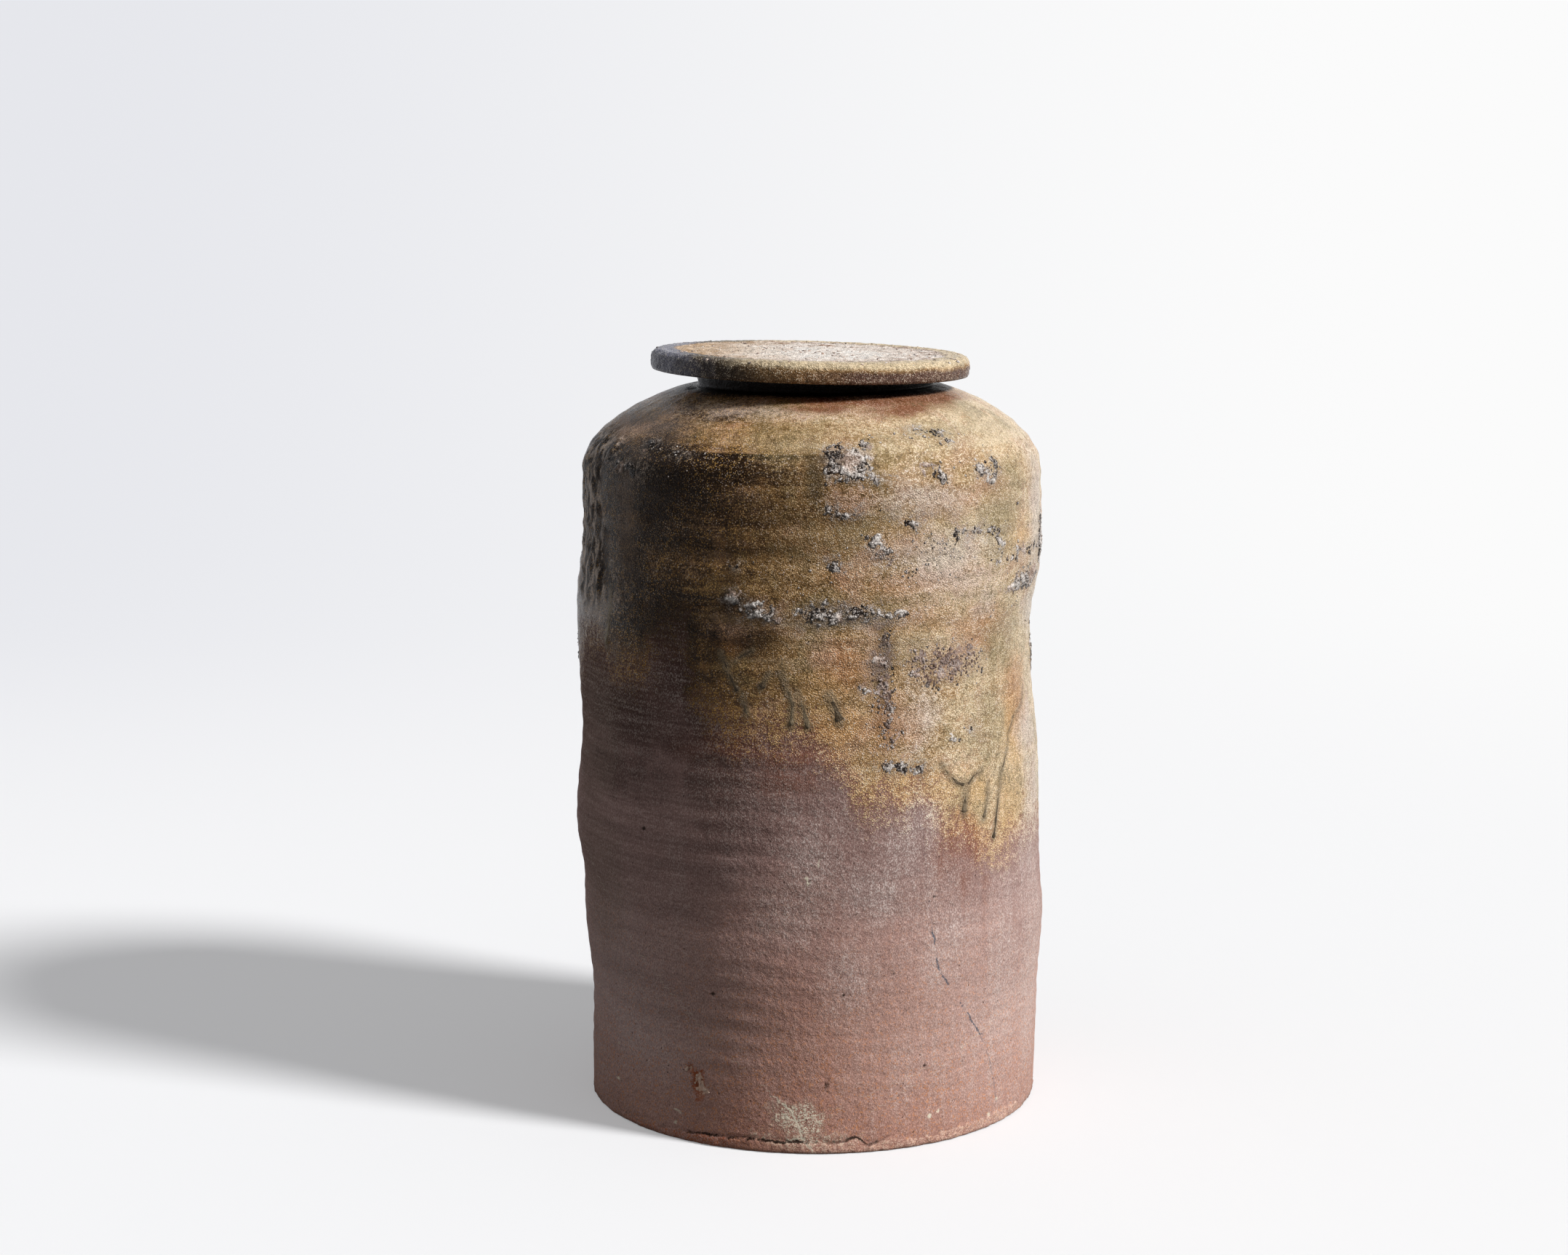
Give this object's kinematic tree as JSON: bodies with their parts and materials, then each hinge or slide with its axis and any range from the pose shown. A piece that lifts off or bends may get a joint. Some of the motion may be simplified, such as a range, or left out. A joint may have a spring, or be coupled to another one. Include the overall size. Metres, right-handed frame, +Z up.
{
  "type": "ceramic storage jar",
  "caption": "Tall hand-thrown stoneware jar with rounded shoulders, a low neck and a loose flat disc lid; wood-fired, ash glazed above bare brown clay, for dry goods or pickles.",
  "frame": {"origin": "centre of the flat foot, on the surface that the jar stands on", "axes": "+Z up along the jar's axis, -Y towards the viewer of the picture, +X to that viewer's right"},
  "size_m": [0.2521, 0.2476, 0.4021],
  "materials": {
    "ash_glazed_stoneware": "natural ash glaze, speckled olive gold to grey crust, over bare red-brown clay at the foot",
    "ash_glazed_lid": "granular grey-gold ash on the edge and a rough pale pink-white disc on top"
  },
  "bodies": {
    "jar": {"jar_body": "ash_glazed_stoneware"},
    "lid": {"lid": "ash_glazed_lid"}
  },
  "joints": [
    {"name": "lid_lift", "type": "slide", "parent": "jar", "child": "lid", "axis": [0, 0, 1], "range_m": [0, 0.15]}
  ]
}
